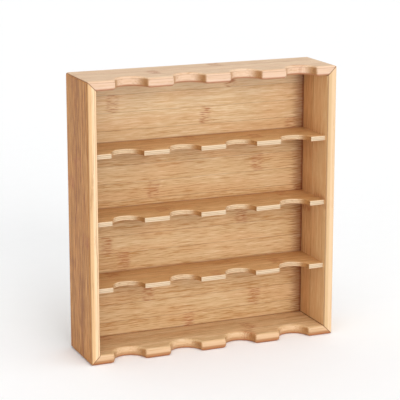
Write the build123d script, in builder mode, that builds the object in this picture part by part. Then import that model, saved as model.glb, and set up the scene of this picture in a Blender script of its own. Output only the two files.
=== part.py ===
"""Four-tier bamboo rack with finger notches along the front of every board.

A mitred frame holds three housed shelves and a back panel that floats in a groove. Millimetres.
X runs to the right, the open front faces -Y, Z is up, and the origin is the middle of the underside.
"""

import math
import os

from build123d import *

# Driving dimensions of the whole rack.
WIDTH = 270.0
HEIGHT = 288.0
DEPTH = 65.0
BOARD = 10.0  # thickness of the four frame boards
SHELF = 5.0  # thickness of the three shelves
TIERS = 4
SHELF_SETBACK = 4.5  # from the frame's front to the shelves' front
OUTER_CORNER = 3.0  # rounding of the frame's four outer corners
LONG_ARRIS = 3.0  # rounding of the top and bottom boards' front edges, notches included
SIDE_ARRIS = 2.0  # rounding of the side boards' front edges
REAR_ARRIS = 1.0

# Finger notches, evenly spaced along the front of every horizontal board. The row sits a little off
# centre in the frame's top and bottom boards.
NOTCHES = 4
NOTCH_PITCH = 61.25
FRAME_NOTCH_RADIUS = 16.5
SHELF_NOTCH_RADIUS = 17.0
FRAME_NOTCH_MOUTH = 4.0  # plan rounding where a notch meets the front
SHELF_NOTCH_MOUTH = 0.6
TOP_NOTCH_SHIFT = 3.5  # of the top board's row, to the right
BOTTOM_NOTCH_SHIFT = -1.0
SHELF_ARRIS = 0.5

# Back panel and the groove that it floats in.
PANEL = 4.0
PANEL_SETBACK = 56.5  # from the frame's front to the panel's front face
GROOVE_DEPTH = 4.0
GROOVE_WIDTH = 4.6
PANEL_PLAY = 0.3  # left between the panel's edge and the bottom of its groove

# Stopped housings that carry the shelf ends.
HOUSING_DEPTH = 4.0
TONGUE = 3.8
TONGUE_SETBACK = 6.0  # from the shelf's front to the start of its tongue

# Loose splines across the mitres.
SPLINE_THICKNESS = 2.5
SPLINE_WIDTH = 11.0
SPLINE_LENGTH = 36.0
SPLINE_SETBACK = 9.0
SPLINE_FROM_TIP = 9.5  # along the mitre, from its outer tip
KERF_PLAY = 0.1

# Steel hanger plates let into the rear edge of the top board.
HANGER_SPACING = 200.0
HANGER_BAR = 36.0
HANGER_HEIGHT = 7.6
HANGER_THICKNESS = 1.2
HANGER_LOBE_RADIUS = 7.5
HANGER_LOBE_DROP = 14.0  # from the bar's middle to the lobe's middle
HANGER_EYE_RADIUS = 4.4
HANGER_SLOT_RADIUS = 2.2
HANGER_SLOT_RISE = 7.0
SCREW_SPACING = 26.0
SCREW_RADIUS = 1.25
SCREW_HEAD_RADIUS = 2.4
SCREW_HEAD_ANGLE = 90.0
SCREW_LENGTH = 12.0
SCREW_DRIVE = 3.0  # length of the cross drive's arms, tip to tip
SCREW_DRIVE_BLADE = 0.6
SCREW_DRIVE_DEPTH = 0.7
PILOT_PLAY = 0.05
PILOT_SPARE = 1.0  # depth of a pilot hole beyond its screw's point

# Derived positions.
FRONT = -DEPTH / 2
REAR = DEPTH / 2
INNER_WIDTH = WIDTH - 2 * BOARD
INNER_HEIGHT = HEIGHT - 2 * BOARD
CLEAR_HEIGHT = (INNER_HEIGHT - (TIERS - 1) * SHELF) / TIERS
SHELF_FRONT = FRONT + SHELF_SETBACK
TONGUE_FRONT = SHELF_FRONT + TONGUE_SETBACK
PANEL_FRONT = FRONT + PANEL_SETBACK
GROOVE_REAR = PANEL_FRONT + PANEL
SHELF_UNDERSIDES = [BOARD + (tier + 1) * CLEAR_HEIGHT + tier * SHELF for tier in range(TIERS - 1)]
HANGER_Z = HEIGHT - BOARD / 2
HANGER_XS = {"left": -HANGER_SPACING / 2, "right": HANGER_SPACING / 2}
SCREW_OFFSETS = {"outer": SCREW_SPACING / 2, "inner": -SCREW_SPACING / 2}
MITRE_ANGLE = 45.0
TOLERANCE = 0.01


def facing_rear(y):
    """An upright plane at y that faces -Y, with X to the right and Z up."""
    return Plane.XZ.offset(-y)


def front_rims(part, width):
    """Edges round the upper and lower faces, apart from those along the rear and the two ends."""
    edges = part.faces().filter_by(Axis.Z).edges()
    return [e for e in edges if (e @ 0.5).Y < 0 and abs((e @ 0.5).X) < width / 2 - TOLERANCE]


def notched_outline(width, front, rear, radius, mouth, shift=0.0):
    """Plan of a board whose front edge has a row of half-round finger notches."""
    with BuildSketch() as outline:
        with Locations((0, (front + rear) / 2)):
            Rectangle(width, rear - front)
        with Locations((shift, front)):
            with GridLocations(NOTCH_PITCH, 0, NOTCHES, 1):
                Circle(radius, mode=Mode.SUBTRACT)
        on_front = [v for v in outline.vertices() if abs(v.Y - front) < TOLERANCE]
        fillet([v for v in on_front if abs(v.X) < width / 2 - TOLERANCE], radius=mouth)
    return outline.sketch


def mitred_profile(corners):
    """Front view of one frame board: its mitred outline within the frame's rounded outer corners."""
    with BuildSketch(Plane.XZ) as profile:
        with Locations((0, HEIGHT / 2)):
            RectangleRounded(WIDTH, HEIGHT, OUTER_CORNER)
        Polygon(*corners, align=None, mode=Mode.INTERSECT)
    return profile.sketch


def spline_profile(side, end, play=0.0):
    """Front view of one mitre's spline: side is -1 (left) or 1 (right), end is -1 (bottom) or 1 (top)."""
    along = SPLINE_FROM_TIP / math.sqrt(2)
    x = side * (WIDTH / 2 - along)
    z = HEIGHT / 2 + end * (HEIGHT / 2 - along)
    with BuildSketch(facing_rear(FRONT + SPLINE_SETBACK + SPLINE_LENGTH + play)) as profile:
        with Locations(Location((x, z), -side * end * MITRE_ANGLE)):
            Rectangle(SPLINE_WIDTH + 2 * play, SPLINE_THICKNESS + 2 * play)
    return profile.sketch


def cut_spline_kerf(side, end):
    """Cuts the stopped kerf for one mitre's spline into the board being built."""
    extrude(spline_profile(side, end, KERF_PLAY), amount=SPLINE_LENGTH + 2 * KERF_PLAY, mode=Mode.SUBTRACT)


def cut_panel_groove():
    """Cuts the back panel's groove into the board being built."""
    with BuildSketch(facing_rear(GROOVE_REAR)) as groove:
        with Locations((0, HEIGHT / 2)):
            Rectangle(INNER_WIDTH + 2 * GROOVE_DEPTH, INNER_HEIGHT + 2 * GROOVE_DEPTH)
    extrude(groove.sketch, amount=GROOVE_WIDTH, mode=Mode.SUBTRACT)


def long_board(end, notch_shift):
    """Top (end 1) or bottom (end -1) board: notched front, mitred ends, panel groove and spline kerfs."""
    underside = HEIGHT - BOARD if end > 0 else 0.0
    outer = HEIGHT if end > 0 else 0.0
    inner = HEIGHT - BOARD if end > 0 else BOARD
    half, inner_half = WIDTH / 2, INNER_WIDTH / 2
    with BuildPart() as board:
        with BuildSketch(Plane.XY.offset(underside)):
            add(notched_outline(WIDTH, FRONT, REAR, FRAME_NOTCH_RADIUS, FRAME_NOTCH_MOUTH, notch_shift))
        extrude(amount=BOARD)
        fillet(front_rims(board, WIDTH), radius=LONG_ARRIS)
        rear = board.edges().filter_by(Axis.X).group_by(Axis.Y)[-1]
        fillet(rear, radius=REAR_ARRIS)
        mitres = [(-half, outer), (half, outer), (inner_half, inner), (-inner_half, inner)]
        extrude(mitred_profile(mitres), amount=DEPTH, both=True, mode=Mode.INTERSECT)
        cut_panel_groove()
        for side in (-1, 1):
            cut_spline_kerf(side, end)
    return board


def side_board(side):
    """Left (side -1) or right (side 1) board: mitred ends, shelf housings, panel groove, spline kerfs."""
    half, inner_half = side * WIDTH / 2, side * INNER_WIDTH / 2
    with BuildPart() as board:
        with BuildSketch(Plane.YZ.offset(inner_half)):
            with Locations((0, HEIGHT / 2)):
                Rectangle(DEPTH, HEIGHT)
        extrude(amount=side * BOARD)
        upright = board.edges().filter_by(Axis.Z).group_by(Axis.Y)
        fillet(upright[0], radius=SIDE_ARRIS)
        upright = board.edges().filter_by(Axis.Z).group_by(Axis.Y)
        fillet(upright[-1], radius=REAR_ARRIS)
        mitres = [(half, 0), (half, HEIGHT), (inner_half, HEIGHT - BOARD), (inner_half, BOARD)]
        extrude(mitred_profile(mitres), amount=DEPTH, both=True, mode=Mode.INTERSECT)
        cut_panel_groove()
        for end in (-1, 1):
            cut_spline_kerf(side, end)
        with BuildSketch(Plane.YZ.offset(inner_half)):
            for underside in SHELF_UNDERSIDES:
                with Locations(((TONGUE_FRONT + PANEL_FRONT) / 2, underside + SHELF / 2)):
                    Rectangle(PANEL_FRONT - TONGUE_FRONT, SHELF)
                with Locations((TONGUE_FRONT, underside + SHELF / 2)):
                    Circle(SHELF / 2)
        extrude(amount=side * HOUSING_DEPTH, mode=Mode.SUBTRACT)
    return board


def notched_shelf(underside):
    """Thin shelf with a notched front and a tongue at each end, set back behind its front corners."""
    with BuildPart() as shelf:
        with BuildSketch(Plane.XY.offset(underside)):
            add(notched_outline(INNER_WIDTH, SHELF_FRONT, PANEL_FRONT, SHELF_NOTCH_RADIUS, SHELF_NOTCH_MOUTH))
        extrude(amount=SHELF)
        fillet(front_rims(shelf, INNER_WIDTH), radius=SHELF_ARRIS)
        tongue_x = (INNER_WIDTH + TONGUE) / 2
        tongue_y = (TONGUE_FRONT + PANEL_FRONT) / 2
        with BuildSketch(Plane.XY.offset(underside)):
            with Locations((-tongue_x, tongue_y), (tongue_x, tongue_y)):
                Rectangle(TONGUE, PANEL_FRONT - TONGUE_FRONT)
        extrude(amount=SHELF)
    return shelf


def hanger_outline(centre_x):
    """Rear view of a hanger plate: a bar with a lobe below it."""
    with BuildSketch(facing_rear(REAR)) as outline:
        with Locations((centre_x, HANGER_Z)):
            SlotOverall(HANGER_BAR, HANGER_HEIGHT)
        with Locations((centre_x, HANGER_Z - HANGER_LOBE_DROP / 2)):
            Rectangle(2 * HANGER_LOBE_RADIUS, HANGER_LOBE_DROP)
        with Locations((centre_x, HANGER_Z - HANGER_LOBE_DROP)):
            Circle(HANGER_LOBE_RADIUS)
    return outline.sketch


def hanger_plate(centre_x):
    """Steel plate with two countersunk holes and a keyhole that hooks over a screw in the wall."""
    with BuildPart() as plate:
        extrude(hanger_outline(centre_x), amount=HANGER_THICKNESS)
        with BuildSketch(facing_rear(REAR)):
            with Locations((centre_x, HANGER_Z - HANGER_LOBE_DROP)):
                Circle(HANGER_EYE_RADIUS)
            with Locations((centre_x, HANGER_Z - HANGER_LOBE_DROP + HANGER_SLOT_RISE / 2)):
                SlotOverall(HANGER_SLOT_RISE + 2 * HANGER_SLOT_RADIUS, 2 * HANGER_SLOT_RADIUS, rotation=90)
        extrude(amount=HANGER_THICKNESS, mode=Mode.SUBTRACT)
        with Locations(screw_plane(centre_x)):
            with Locations([(offset, 0) for offset in SCREW_OFFSETS.values()]):
                CounterSinkHole(
                    SCREW_RADIUS + PILOT_PLAY,
                    SCREW_HEAD_RADIUS + PILOT_PLAY,
                    counter_sink_angle=SCREW_HEAD_ANGLE,
                )
    return plate


def screw_plane(x):
    """The plane of a hanger's outer face, at x, facing out of the rear."""
    return Plane((x, REAR, HANGER_Z), x_dir=(1, 0, 0), z_dir=(0, 1, 0))


def wood_screw(x):
    """Countersunk screw with a cross drive, flush with the hanger plate and pointing forward."""
    cone = (SCREW_HEAD_RADIUS - SCREW_RADIUS) / math.tan(math.radians(SCREW_HEAD_ANGLE / 2))
    with BuildPart() as screw:
        with BuildSketch(Plane((x, REAR, HANGER_Z), x_dir=(1, 0, 0), z_dir=(0, 0, -1))):
            with BuildLine():
                Polyline(
                    (0, 0),
                    (SCREW_HEAD_RADIUS, 0),
                    (SCREW_RADIUS, cone),
                    (SCREW_RADIUS, SCREW_LENGTH - 2 * SCREW_RADIUS),
                    (0, SCREW_LENGTH),
                    close=True,
                )
            make_face()
        revolve(axis=Axis((x, REAR, HANGER_Z), (0, 1, 0)))
        with BuildSketch(screw_plane(x)):
            Rectangle(SCREW_DRIVE, SCREW_DRIVE_BLADE)
            Rectangle(SCREW_DRIVE_BLADE, SCREW_DRIVE)
        extrude(amount=-SCREW_DRIVE_DEPTH, mode=Mode.SUBTRACT)
    return screw


# Bottom board.
bottom_board = long_board(-1, BOTTOM_NOTCH_SHIFT)

# Top board, with a mortise for each hanger plate and a pilot hole for each of its screws.
top_blank = long_board(1, TOP_NOTCH_SHIFT)
with BuildPart() as top_board:
    add(top_blank.part)
    for hanger_x in HANGER_XS.values():
        extrude(hanger_outline(hanger_x), amount=HANGER_THICKNESS, mode=Mode.SUBTRACT)
        for offset in SCREW_OFFSETS.values():
            with BuildSketch(screw_plane(hanger_x + offset)):
                Circle(SCREW_RADIUS + PILOT_PLAY)
            extrude(amount=-SCREW_LENGTH - PILOT_SPARE, mode=Mode.SUBTRACT)

# Side boards.
left_side = side_board(-1)
right_side = side_board(1)

# Back panel, loose in its groove.
with BuildPart() as back_panel:
    with BuildSketch(facing_rear(GROOVE_REAR)):
        with Locations((0, HEIGHT / 2)):
            play = 2 * (GROOVE_DEPTH - PANEL_PLAY)
            Rectangle(INNER_WIDTH + play, INNER_HEIGHT + play)
    extrude(amount=PANEL)

pieces = {
    "bottom_board": bottom_board,
    "top_board": top_board,
    "left_side": left_side,
    "right_side": right_side,
    "back_panel": back_panel,
}

# Shelves, from the bottom up.
for name, underside in zip(("lower_shelf", "middle_shelf", "upper_shelf"), SHELF_UNDERSIDES):
    pieces[name] = notched_shelf(underside)

# One spline in each mitre.
for side, side_name in ((-1, "left"), (1, "right")):
    for end, end_name in ((-1, "bottom"), (1, "top")):
        with BuildPart() as spline:
            extrude(spline_profile(side, end), amount=SPLINE_LENGTH)
        pieces[f"spline_{end_name}_{side_name}"] = spline

# Hanger plates and their screws.
for side_name, hanger_x in HANGER_XS.items():
    outward = math.copysign(1, hanger_x)
    pieces[f"hanger_plate_{side_name}"] = hanger_plate(hanger_x)
    for place, offset in SCREW_OFFSETS.items():
        pieces[f"hanger_screw_{side_name}_{place}"] = wood_screw(hanger_x + outward * offset)

os.makedirs("parts", exist_ok=True)
for name, piece in pieces.items():
    piece.part.label = name
    export_step(piece.part, f"parts/{name}.step")
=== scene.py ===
"""Looks of the four-tier bamboo rack, in metres and in the CAD frame.

Every board is glued up from bamboo strips, and its material draws them: fibres along the grain, a
node across each strip, seams between strips and dotted end grain. It paints shade in the crevices,
on what faces down and on the left arrises, and front edges are paled partly by painted light. The
textures work in millimetres.
"""

import math

import bpy
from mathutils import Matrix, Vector


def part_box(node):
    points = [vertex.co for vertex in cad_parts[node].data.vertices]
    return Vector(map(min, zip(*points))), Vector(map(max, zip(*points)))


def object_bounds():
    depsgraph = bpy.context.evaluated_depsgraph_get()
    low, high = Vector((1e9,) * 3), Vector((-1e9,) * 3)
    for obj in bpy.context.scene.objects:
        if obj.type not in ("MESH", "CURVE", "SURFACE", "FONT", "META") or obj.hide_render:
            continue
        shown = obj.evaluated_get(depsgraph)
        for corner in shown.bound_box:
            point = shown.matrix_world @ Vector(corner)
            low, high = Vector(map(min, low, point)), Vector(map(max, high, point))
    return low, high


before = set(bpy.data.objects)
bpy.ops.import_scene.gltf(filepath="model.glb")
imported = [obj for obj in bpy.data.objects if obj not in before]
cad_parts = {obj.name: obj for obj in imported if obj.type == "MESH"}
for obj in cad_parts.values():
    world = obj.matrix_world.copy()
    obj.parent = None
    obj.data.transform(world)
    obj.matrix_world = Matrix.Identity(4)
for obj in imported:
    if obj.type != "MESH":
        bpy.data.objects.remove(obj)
cad_low, cad_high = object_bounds()

# Axes of the row frame.
X, Y, Z = 0, 1, 2
MM = 1000.0  # millimetres in a metre

# Sizes of the bamboo's textures in mm, along the fibres and across them.
DRIFT = (110.0, 18.0)
RIPPLE = (9.0, 3.0)
FINE = (15.0, 0.8)
FIBRE = (52.0, 1.4)
BAND = (170.0, 6.5)
CLOUD = (70.0, 15.0)
VESSEL = (9.0, 0.55)
DASH = (12.0, 1.1)
DOT = (9.0, 0.8)
BLOTCH = (30.0, 3.5)

# Noise differs from strip to strip because each strip's is taken this far from the last one's.
STRIP_STEP = 37.0


def colour(tone):
    """An 8-bit screen colour as a linear RGBA value."""
    return (*[((c / 255 + 0.055) / 1.055) ** 2.4 for c in tone], 1.0)


def three_tones(light, middle, dark):
    return [colour(light), colour(middle), colour(dark)]


PANEL_TONES = three_tones((230, 206, 168), (214, 181, 136), (184, 137, 82))
# The left side's tones are darker, partly its own darker bamboo and partly painted shade on its outer
# face.
LEFT_TONES_WITH_SHADE = three_tones((206, 148, 80), (176, 115, 44), (134, 75, 24))
RIGHT_TONES = three_tones((238, 211, 161), (221, 179, 127), (193, 141, 90))
TOP_TONES = three_tones((234, 206, 173), (216, 181, 145), (187, 143, 100))
BOTTOM_TONES = three_tones((234, 207, 168), (214, 181, 135), (180, 134, 86))
SHELF_TONES = three_tones((226, 188, 138), (204, 160, 106), (168, 118, 66))
SPLINE_TONES = three_tones((230, 196, 150), (212, 172, 124), (184, 138, 92))
# Node colour, also used as painted shade on what faces down.
NODE_AND_SHADE_TONE = colour((162, 84, 36))
# Seam colour, also used as painted shade on the left arrises.
SEAM_AND_SHADE_TONE = colour((120, 72, 40))
# Colour of the painted shade in the crevices.
CREVICE_SHADE_TONE = colour((120, 54, 14))
END_LIGHT = colour((170, 118, 66))
END_DARK = colour((104, 62, 28))
ROSY_TINT = colour((255, 240, 232))
ZINC_LIGHT = colour((214, 214, 208))
ZINC_DARK = colour((190, 193, 194))
ZINC_STAIN = colour((150, 140, 118))


class Graph:
    """A material's node tree, with a short call for each kind of node."""

    def __init__(self, name):
        self.material = bpy.data.materials.new(name)
        self.material.use_nodes = True
        self.nodes = self.material.node_tree.nodes
        self.links = self.material.node_tree.links
        self.shader = self.nodes["Principled BSDF"]
        place = self.add("ShaderNodeTexCoord").outputs
        inputs = {0: place["Object"], 1: (MM, MM, MM)}
        scaled = self.add("ShaderNodeVectorMath", inputs, operation="MULTIPLY")
        self.at = self.add("ShaderNodeSeparateXYZ", {0: scaled.outputs[0]}).outputs
        self.normal = self.add("ShaderNodeSeparateXYZ", {0: place["Normal"]}).outputs

    def feed(self, socket, value):
        """Links another node's output to the socket, or sets the socket's own value."""
        if isinstance(value, bpy.types.NodeSocket):
            self.links.new(value, socket)
        else:
            socket.default_value = value

    def add(self, kind, inputs=(), **settings):
        node = self.nodes.new(kind)
        for name, value in settings.items():
            setattr(node, name, value)
        for key, value in dict(inputs).items():
            self.feed(node.inputs[key], value)
        return node

    def math(self, operation, a, b=0.0, c=0.0):
        return self.add("ShaderNodeMath", {0: a, 1: b, 2: c}, operation=operation).outputs[0]

    def total(self, first, *others):
        for other in others:
            first = self.math("ADD", first, other)
        return first

    def product(self, first, *others):
        for other in others:
            first = self.math("MULTIPLY", first, other)
        return first

    def absolute(self, value):
        return self.math("ABSOLUTE", value)

    def ramp(self, value, low, high, start=0.0, end=1.0):
        """Eases from start to end while value goes from low to high."""
        inputs = {"Value": value, "From Min": low, "From Max": high, "To Min": start, "To Max": end}
        return self.add("ShaderNodeMapRange", inputs, interpolation_type="SMOOTHSTEP").outputs["Result"]

    def facing_back(self, axis, low, high):
        """1 where the surface faces the axis's negative end, easing from 0 between low and high."""
        return self.ramp(self.math("MULTIPLY", self.normal[axis], -1.0), low, high)

    def line(self, distance, half_width, soft):
        """1 on a thin line, easing to 0 on both sides of it."""
        return self.ramp(self.absolute(distance), half_width, half_width + soft, 1.0, 0.0)

    def stretched(self, parts, sizes):
        """A vector whose parts are divided by their sizes, for a texture of that grain size."""
        x, y, z = [self.math("DIVIDE", part, size) for part, size in zip(parts, sizes)]
        return self.add("ShaderNodeCombineXYZ", {0: x, 1: y, 2: z}).outputs[0]

    def noise(self, vector, detail=2.0):
        inputs = {"Vector": vector, "Scale": 1.0, "Detail": detail, "Roughness": 0.55}
        return self.add("ShaderNodeTexNoise", inputs).outputs["Fac"]

    def swing(self, noise, amount):
        """Noise recentred on zero and scaled."""
        return self.math("MULTIPLY_ADD", noise, amount, -amount / 2)

    def cells(self, vector):
        """Distance to the nearest of many scattered points."""
        return self.add("ShaderNodeTexVoronoi", {"Vector": vector, "Scale": 1.0}).outputs["Distance"]

    def mix(self, factor, a, b, blend="MIX"):
        node = self.add("ShaderNodeMix", data_type="RGBA", blend_type=blend)
        node.clamp_factor = True
        self.feed(node.inputs["Factor"], factor)
        self.feed(node.inputs[6], a)  # 6 and 7 are the two colours, 2 the mixed colour
        self.feed(node.inputs[7], b)
        return node.outputs[2]

    def lookup(self, index, values):
        """The value at a whole-numbered index, from a short list of values between 0 and 1."""
        node = self.add("ShaderNodeValToRGB")
        node.color_ramp.interpolation = "CONSTANT"
        stops = node.color_ramp.elements
        while len(stops) < len(values):
            stops.new(0.5)
        for place, value in enumerate(values):
            stops[place].position = place / len(values)
            stops[place].color = (value, value, value, 1.0)
        self.feed(node.inputs[0], self.math("DIVIDE", self.math("ADD", index, 0.5), len(values)))
        # Multiplying by 1 turns the ramp's grey colour into a number.
        return self.math("MULTIPLY", node.outputs["Color"], 1.0)

    def surface(self, base, rough, constants):
        """Feeds the shader's colour and roughness, and sets what is the same all over."""
        self.feed(self.shader.inputs["Base Color"], base)
        self.feed(self.shader.inputs["Roughness"], rough)
        for name, value in constants.items():
            self.shader.inputs[name].default_value = value

    def bump(self, height, strength, distance):
        """Raises fine relief where height is large. The distance is in metres."""
        bump = self.add("ShaderNodeBump", {"Strength": strength, "Distance": distance, "Height": height})
        self.feed(self.shader.inputs["Normal"], bump.outputs["Normal"])


class Strips:
    """The strips of one board: where the shading point is in its strip, and the strip's textures."""

    def __init__(self, g, box, grain, across, knots, tones, seed):
        low, high = [corner * MM for corner in box]
        self.g = g
        self.through = X + Y + Z - grain - across  # the axis through the board's thickness
        self.low, self.high = low[self.through], high[self.through]
        self.along, self.beside, self.deep = g.at[grain], g.at[across], g.at[self.through]

        # Which strip the point is in, and how far it is from the nearest seam.
        width = (high[across] - low[across]) / len(knots)
        count = g.math("DIVIDE", g.math("SUBTRACT", self.beside, low[across]), width)
        index = g.math("FLOOR", count)
        share = g.math("FRACT", count)
        rim = g.product(g.math("MINIMUM", share, g.math("SUBTRACT", 1.0, share)), width)
        self.tone = g.lookup(index, tones)
        self.shift = g.total(g.product(index, STRIP_STEP), seed)

        # How far it is from the strip's node, which bows a little.
        reach = MM * (cad_high[grain] - cad_low[grain])
        knot = g.math("MULTIPLY_ADD", g.lookup(index, knots), reach, MM * cad_low[grain])
        bow = g.noise(g.stretched((self.beside, self.deep, seed), (9.0, 9.0, 1.0)), 0.0)
        gap = g.absolute(g.total(g.math("SUBTRACT", self.along, knot), g.swing(bow, 6.0)))

        # The fibres wander slowly, ripple a little and swerve round a node.
        near = g.ramp(gap, 3.0, 20.0, 1.0, 0.0)
        swerve = g.product(g.swing(self.patches(RIPPLE), 1.0), g.math("MULTIPLY_ADD", near, 1.6, 1.0))
        self.bent = g.total(self.beside, g.swing(self.patches(DRIFT), 3.0), swerve, self.shift)

        # Noise, all between 0 and 1.
        self.fine = g.noise(self.along_fibres(FINE), 3.0)
        self.fibre = g.noise(self.along_fibres(FIBRE), 3.0)
        self.band = g.noise(self.along_fibres(BAND))
        self.cloud = self.patches(CLOUD, 1.0)

        # Masks, which are 1 on what they are named after.
        flecks = g.ramp(g.cells(self.along_fibres(VESSEL)), 0.08, 0.24, 1.0, 0.0)
        self.vessels = g.product(flecks, g.ramp(self.fibre, 0.45, 0.65))
        self.node = g.ramp(gap, 3.0, 9.0, 1.0, 0.0)
        self.dashes = g.ramp(self.patches(DASH, 1.0), 0.47, 0.59)
        self.seam = g.line(rim, 0.05, 0.4)
        self.end = g.ramp(g.absolute(g.normal[grain]), 0.5, 0.97)
        self.dots = g.ramp(g.cells(self.over_end(DOT)), 0.16, 0.45, 1.0, 0.0)

    def along_fibres(self, size):
        """Texture coordinates that follow the bent fibres."""
        length, width = size
        return self.g.stretched((self.along, self.bent, self.deep), (length, width, width))

    def over_end(self, size):
        """Texture coordinates for a surface that crosses the fibres."""
        length, width = size
        return self.g.stretched((self.beside, self.deep, self.along), (width, width, length))

    def patches(self, size, detail=2.0):
        """Straight noise that starts afresh on each strip."""
        length, width = size
        vector = self.g.stretched((self.along, self.beside, self.shift), (length, width, 1.0))
        return self.g.noise(vector, detail)

    def level(self, share):
        """A place through the board's thickness, from 0 at its low face to 1 at its high face."""
        return self.low + share * (self.high - self.low)


def body_colour(g, strips, tones, figure):
    """Blends the light, middle and dark tones by strip and by fibre, with rosy clouds and dark vessels."""
    light, middle, dark = tones
    streaks = g.total(g.swing(strips.fine, 1.8), g.swing(strips.fibre, 1.3), g.swing(strips.band, 0.7))
    depth = g.total(strips.tone, g.product(streaks, figure))
    body = g.mix(g.ramp(depth, 0.0, 0.5), light, middle)
    body = g.mix(g.ramp(depth, 0.5, 1.05), body, dark)
    rosy = g.mix(1.0, body, ROSY_TINT, "MULTIPLY")
    body = g.mix(g.ramp(strips.cloud, 0.40, 0.66, 0.0, 0.4), body, rosy)
    return g.mix(g.product(strips.vessels, 0.35), body, NODE_AND_SHADE_TONE)


def nodes_and_seams(g, strips, body):
    """Draws each node as a cluster of reddish-brown dashes, and the seams between the strips."""
    strength = g.math("MULTIPLY_ADD", strips.dashes, 0.62, 0.05)
    body = g.mix(g.product(strips.node, strength), body, NODE_AND_SHADE_TONE)
    return g.mix(g.product(strips.seam, 0.36), body, SEAM_AND_SHADE_TONE)


def planed_and_lit_edge(g, strips, body, face, edge, dark):
    """Makes what faces forward paler, with darker fibres along it, and paints shade on what faces down.

    The paleness is mostly painted light from the front and partly the planed edge's own colour.
    face is the place of the board's front. What lies further back, such as a notch's wall, is paled less.
    """
    recess = g.ramp(g.at[Y], face + 4.0, face + 16.0, 1.0, 0.7)
    front = g.product(g.facing_back(Y, 0.35, 0.9), recess)
    # Two edge colours through the thickness; the bottom board's paint shade below and a highlight above.
    upper = g.ramp(strips.deep, strips.level(0.35), strips.level(0.55))
    planed = g.mix(upper, colour(edge[0]), colour(edge[1]))
    pale = g.mix(g.ramp(strips.fibre, 0.50, 0.78, 0.0, 0.6), planed, dark)
    body = g.mix(g.product(front, 0.9), body, pale)
    # Painted shade: what faces down is darkened.
    return g.mix(g.product(g.facing_back(Z, 0.05, 0.6), 0.65), body, NODE_AND_SHADE_TONE)


def glue_lines(g, strips, body, plies):
    """Draws a glue line round the board's edges for each ply, given from 0 to 1 through the thickness."""
    sideways = g.ramp(g.absolute(g.normal[strips.through]), 0.2, 0.7, 1.0, 0.0)
    for ply in plies:
        glue = g.line(g.total(strips.deep, -strips.level(ply), g.swing(strips.cloud, 0.8)), 0.08, 0.45)
        body = g.mix(g.product(glue, sideways, 0.42), body, SEAM_AND_SHADE_TONE)
    return body


def end_grain(g, strips, body):
    """Where the surface crosses the fibres, it is darker and they show as dots."""
    blotch = g.noise(strips.over_end(BLOTCH), 1.0)
    cut = g.mix(g.total(g.product(strips.dots, 0.7), g.swing(blotch, 1.2)), END_LIGHT, END_DARK)
    return g.mix(g.product(strips.end, 0.85), body, cut)


def crevice_shade_lines(g, strips, body, crevices):
    """Paints shade on the face that looks into the rack along each crevice, wavering with the fibres."""
    inward = g.facing_back(strips.through, 0.5, 0.8)
    for axis, place, width in crevices:
        distance = g.total(g.at[axis], -place, g.swing(strips.fine, 1.6 * width))
        # The darkening is painted shade along the crevice.
        darkening = g.line(distance, 0.1 * width, width)
        body = g.mix(g.product(darkening, inward, 0.62), body, CREVICE_SHADE_TONE)
    return body


def mitre_hairlines(g, body):
    """Darkens a hairline along each of the frame's mitres."""
    half, height = MM * cad_high[X], MM * cad_high[Z]
    from_side = g.math("SUBTRACT", half, g.absolute(g.at[X]))
    from_end = g.math("MINIMUM", g.at[Z], g.math("SUBTRACT", height, g.at[Z]))
    hairline = g.line(g.math("SUBTRACT", from_side, from_end), 0.30, 0.55)
    return g.mix(g.product(hairline, 0.80), body, SEAM_AND_SHADE_TONE)


def shaded_left_arrises(g, body):
    """Paints shade on the left arrises of an upright board's front and rear edges."""
    leftward = g.math("MULTIPLY", g.normal[X], -1.0)
    arris = g.ramp(g.product(leftward, g.absolute(g.normal[Y])), 0.22, 0.48)
    return g.mix(g.product(arris, 0.55), body, SEAM_AND_SHADE_TONE)


def lacquer(g, strips, body):
    """Satin lacquer, duller on end grain, with the fibres' relief under it."""
    rough = g.total(g.product(strips.fine, 0.16), g.product(strips.end, 0.18), 0.40)
    g.surface(body, rough, {"Coat Weight": 0.06, "Coat Roughness": 0.25, "Specular IOR Level": 0.22})
    relief = g.total(
        g.product(strips.fine, 0.5),
        g.product(strips.fibre, 0.4),
        g.product(strips.node, strips.dashes, 0.5),
        g.product(strips.seam, -0.8),
        g.product(strips.vessels, -0.35),
        g.product(strips.dots, strips.end, -0.5),
    )
    g.bump(relief, strength=0.5, distance=0.0001)


def bamboo(
    name,
    box,
    grain,
    across,
    knots,
    tones,
    palette,
    seed,
    figure=1.0,
    edge=None,
    plies=(),
    mitred=False,
    crevices=(),
):
    """Lacquered bamboo glued up from strips.

    grain and across are the axes along the fibres and across the strips. knots says how far along the
    rack each strip's node is, and tones how dark each strip is, both from 0 to 1. figure is how strongly
    the streaks show. edge has the two colours of a front edge, lower then upper, partly the planed edge's
    own colour and partly painted light and shade, and plies says where glue lines run, from 0 to 1
    through the thickness. crevices are lines of painted shade where parts meet, each given by an axis, a
    place on it in mm and a width in mm.
    """
    g = Graph(name)
    strips = Strips(g, box, grain, across, knots, tones, seed)
    body = body_colour(g, strips, palette, figure)
    body = nodes_and_seams(g, strips, body)
    if edge:
        body = planed_and_lit_edge(g, strips, body, MM * box[0][Y], edge, palette[-1])
    body = glue_lines(g, strips, body, plies)
    body = end_grain(g, strips, body)
    body = crevice_shade_lines(g, strips, body, crevices)
    if mitred:
        body = mitre_hairlines(g, body)
    if grain == Z:
        body = shaded_left_arrises(g, body)
    lacquer(g, strips, body)
    return g.material


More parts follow.
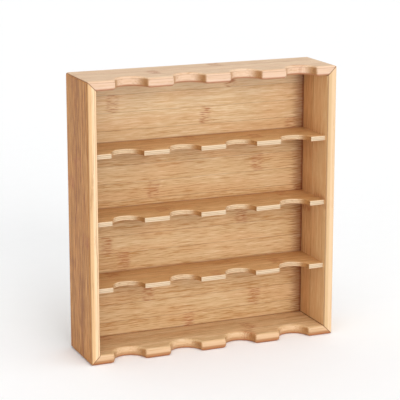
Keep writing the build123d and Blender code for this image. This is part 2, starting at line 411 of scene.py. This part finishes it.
def zinc(name, spangle_scale):
    """Zinc-plated steel: brushed, with faint spangles and a few darker stains."""
    g = Graph(name)
    lines = g.noise(g.stretched(g.at, (9.0, 0.12, 0.12)), 3.0)
    where = g.stretched(g.at, (1.6, 1.6, 1.6))
    spangle = g.add("ShaderNodeTexVoronoi", {"Vector": where, "Scale": spangle_scale})
    grey = g.add("ShaderNodeRGBToBW", {0: spangle.outputs["Color"]}).outputs[0]
    darkening = g.ramp(g.noise(g.stretched(g.at, (3.8, 3.8, 3.8)), 4.0), 0.52, 0.75)
    plate = g.mix(grey, ZINC_DARK, ZINC_LIGHT)
    plate = g.mix(g.product(darkening, 0.35), plate, ZINC_STAIN)
    rough = g.total(g.product(lines, 0.22), g.product(darkening, 0.15), 0.22)
    g.surface(plate, rough, {"Metallic": 1.0})
    g.bump(lines, strength=0.4, distance=0.00003)
    return g.material


def pale_floor():
    """Matte and almost white, with faint cool mottling."""
    g = Graph("pale_floor")
    mottling = g.noise(g.stretched(g.at, (25.0, 25.0, 25.0)), 4.0)
    base = g.mix(mottling, (0.96, 0.965, 0.97, 1.0), (0.98, 0.985, 0.99, 1.0))
    g.surface(base, 0.8, {"Specular IOR Level": 0.1})
    return g.material


def finish_node(node, material):
    """Gives a CAD node its material."""
    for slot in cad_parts[node].material_slots:
        slot.material = material


# Crevices, where the panel meets the boards in front of it, get painted shade.
panel_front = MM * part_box("back_panel")[0][Y]
inner_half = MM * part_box("right_side")[0][X]
floors = ("bottom_board", "lower_shelf", "middle_shelf", "upper_shelf")
board_tops = [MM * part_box(node)[1][Z] for node in floors]

# Back panel: horizontal strips, each with one node, from the lowest strip up.
finish_node(
    "back_panel",
    bamboo(
        "bamboo_back_panel",
        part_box("back_panel"),
        grain=X,
        across=Z,
        knots=(0.48, 0.76, 0.31, 0.83, 0.21, 0.14, 0.70, 0.95, 0.33, 0.77, 0.06, 0.91, 0.55, 0.17, 0.65),
        # The top strips are lighter, painted light that offsets the shade under the top board.
        tones=(0.70, 0.60, 0.70, 0.74, 0.64, 0.60, 0.70, 0.74, 0.60, 0.56, 0.66, 0.48, 0.38, 0.30, 0.14),
        palette=PANEL_TONES,
        seed=3.0,
        # Painted shade: a wide band and a thin line at the panel's right end, and thin lines along the
        # board tops.
        crevices=[(X, inner_half, 14.0), (X, inner_half, 2.6)] + [(Z, top, 1.2) for top in board_tops],
    ),
)

# Frame boards: strips side by side through the depth, the front one first.
FRAME_BOARDS = {
    "top_board": dict(
        grain=X,
        knots=(0.86, 0.30, 0.58),
        tones=(0.36, 0.30, 0.42),
        palette=TOP_TONES,
        edge=((222, 191, 166), (218, 185, 158)),
        plies=(0.8,),
    ),
    "bottom_board": dict(
        grain=X,
        knots=(0.66, 0.69, 0.12),
        tones=(0.52, 0.60, 0.50),
        palette=BOTTOM_TONES,
        # Lower colour is painted shade on the lower arris, upper colour a painted highlight.
        edge=((172, 120, 80), (216, 180, 142)),
    ),
    "left_side": dict(
        grain=Z,
        knots=(0.44, 0.70, 0.62),
        tones=(0.40, 0.58, 0.46),
        palette=LEFT_TONES_WITH_SHADE,
        figure=1.4,
        edge=((222, 182, 134), (240, 208, 168)),
        plies=(0.78,),
    ),
    "right_side": dict(
        grain=Z,
        knots=(0.50, 0.46),
        tones=(0.44, 0.70),
        palette=RIGHT_TONES,
        figure=0.7,
        edge=((212, 178, 134), (226, 194, 156)),
        # Painted shade on the inner face just in front of the panel.
        crevices=[(Y, panel_front, 1.4)],
    ),
}
for number, (node, look) in enumerate(FRAME_BOARDS.items()):
    material = bamboo("bamboo_" + node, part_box(node), across=Y, seed=11.0 + number, mitred=True, **look)
    finish_node(node, material)

# Shelves: three narrower strips each, the front one first.
SHELVES = {
    "upper_shelf": dict(knots=(0.24, 0.71, 0.47), tones=(0.46, 0.52, 0.56)),
    "middle_shelf": dict(knots=(0.60, 0.33, 0.86), tones=(0.50, 0.56, 0.52)),
    "lower_shelf": dict(knots=(0.52, 0.80, 0.15), tones=(0.54, 0.48, 0.58)),
}
for number, (node, look) in enumerate(SHELVES.items()):
    material = bamboo(
        "bamboo_" + node,
        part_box(node),
        grain=X,
        across=Y,
        palette=SHELF_TONES,
        seed=41.0 + number,
        edge=((214, 193, 163), (220, 199, 168)),
        plies=(0.35, 0.68),
        **look,
    )
    finish_node(node, material)

# Splines inside the mitres, and the steel at the back.
for number, node in enumerate(sorted(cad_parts)):
    if node.startswith("spline_"):
        material = bamboo(
            "bamboo_" + node,
            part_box(node),
            grain=Y,
            across=X,
            knots=(0.3, 0.7),
            tones=(0.4, 0.5),
            palette=SPLINE_TONES,
            seed=61.0 + number,
        )
        finish_node(node, material)
    if node.startswith("hanger_"):
        finish_node(node, zinc("zinc_" + node, 1.0 + number / 50))


def stage_floor():
    """A floor far wider than the view."""
    reach = 12.0
    mesh = bpy.data.meshes.new("floor")
    corners = [(-reach, -reach, 0.0), (reach, -reach, 0.0), (reach, reach, 0.0), (-reach, reach, 0.0)]
    mesh.from_pydata(corners, [], [(0, 1, 2, 3)])
    mesh.materials.append(pale_floor())
    floor = bpy.data.objects.new("floor", mesh)
    bpy.context.scene.collection.objects.link(floor)


def sun_light(name, source, power, spread, tint):
    """A soft and even light that comes from the source direction, spread over that many degrees."""
    lamp = bpy.data.lights.new(name, "SUN")
    lamp.angle = math.radians(spread)
    lamp.energy = power
    lamp.color = tint
    holder = bpy.data.objects.new(name, lamp)
    holder.rotation_euler = (-Vector(source)).to_track_quat("-Z", "Y").to_euler()
    bpy.context.scene.collection.objects.link(holder)


def pale_surround():
    """An even surround, white along the horizon, where it meets the floor."""
    world = bpy.data.worlds.new("studio")
    world.use_nodes = True
    nodes, links = world.node_tree.nodes, world.node_tree.links
    place = nodes.new("ShaderNodeTexCoord")
    height = nodes.new("ShaderNodeSeparateXYZ")
    links.new(place.outputs["Generated"], height.inputs[0])
    band = nodes.new("ShaderNodeMapRange")
    band.interpolation_type = "SMOOTHSTEP"
    for name, value in {"From Min": 0.08, "From Max": 0.30, "To Min": 1.0, "To Max": 0.55}.items():
        band.inputs[name].default_value = value
    links.new(height.outputs["Z"], band.inputs["Value"])
    links.new(band.outputs["Result"], nodes["Background"].inputs["Strength"])
    nodes["Background"].inputs["Color"].default_value = (1.0, 1.0, 1.0, 1.0)
    return world


stage_floor()
sun_light("key", source=(0.05, -1.00, 0.36), power=1.08, spread=30.0, tint=(1.0, 0.985, 0.965))
sun_light("fill", source=(-0.85, -1.00, 0.20), power=0.4, spread=50.0, tint=(1.0, 1.0, 1.0))
sun_light("overhead", source=(0.05, -0.40, 1.00), power=1.15, spread=60.0, tint=(1.0, 1.0, 1.0))
bpy.context.scene.world = pale_surround()
bpy.context.scene.view_settings.view_transform = "Standard"

# Camera: a long lens, left of the rack and a little above it.
AZIMUTH = math.radians(-22.745)
ELEVATION = math.radians(13.615)
DISTANCE = 1.661
LENS = 145.1
SENSOR = 36.0
AIM = Vector((-0.0023, 0.0029, 0.1513))
level_reach = math.cos(ELEVATION)
toward = Vector((math.sin(AZIMUTH) * level_reach, -math.cos(AZIMUTH) * level_reach, math.sin(ELEVATION)))
camera = bpy.data.objects.new("camera", bpy.data.cameras.new("camera"))
camera.location = AIM + toward * DISTANCE
camera.rotation_euler = (-toward).to_track_quat("-Z", "Y").to_euler()
camera.data.lens = LENS
camera.data.sensor_width = SENSOR
bpy.context.scene.collection.objects.link(camera)
bpy.context.scene.camera = camera
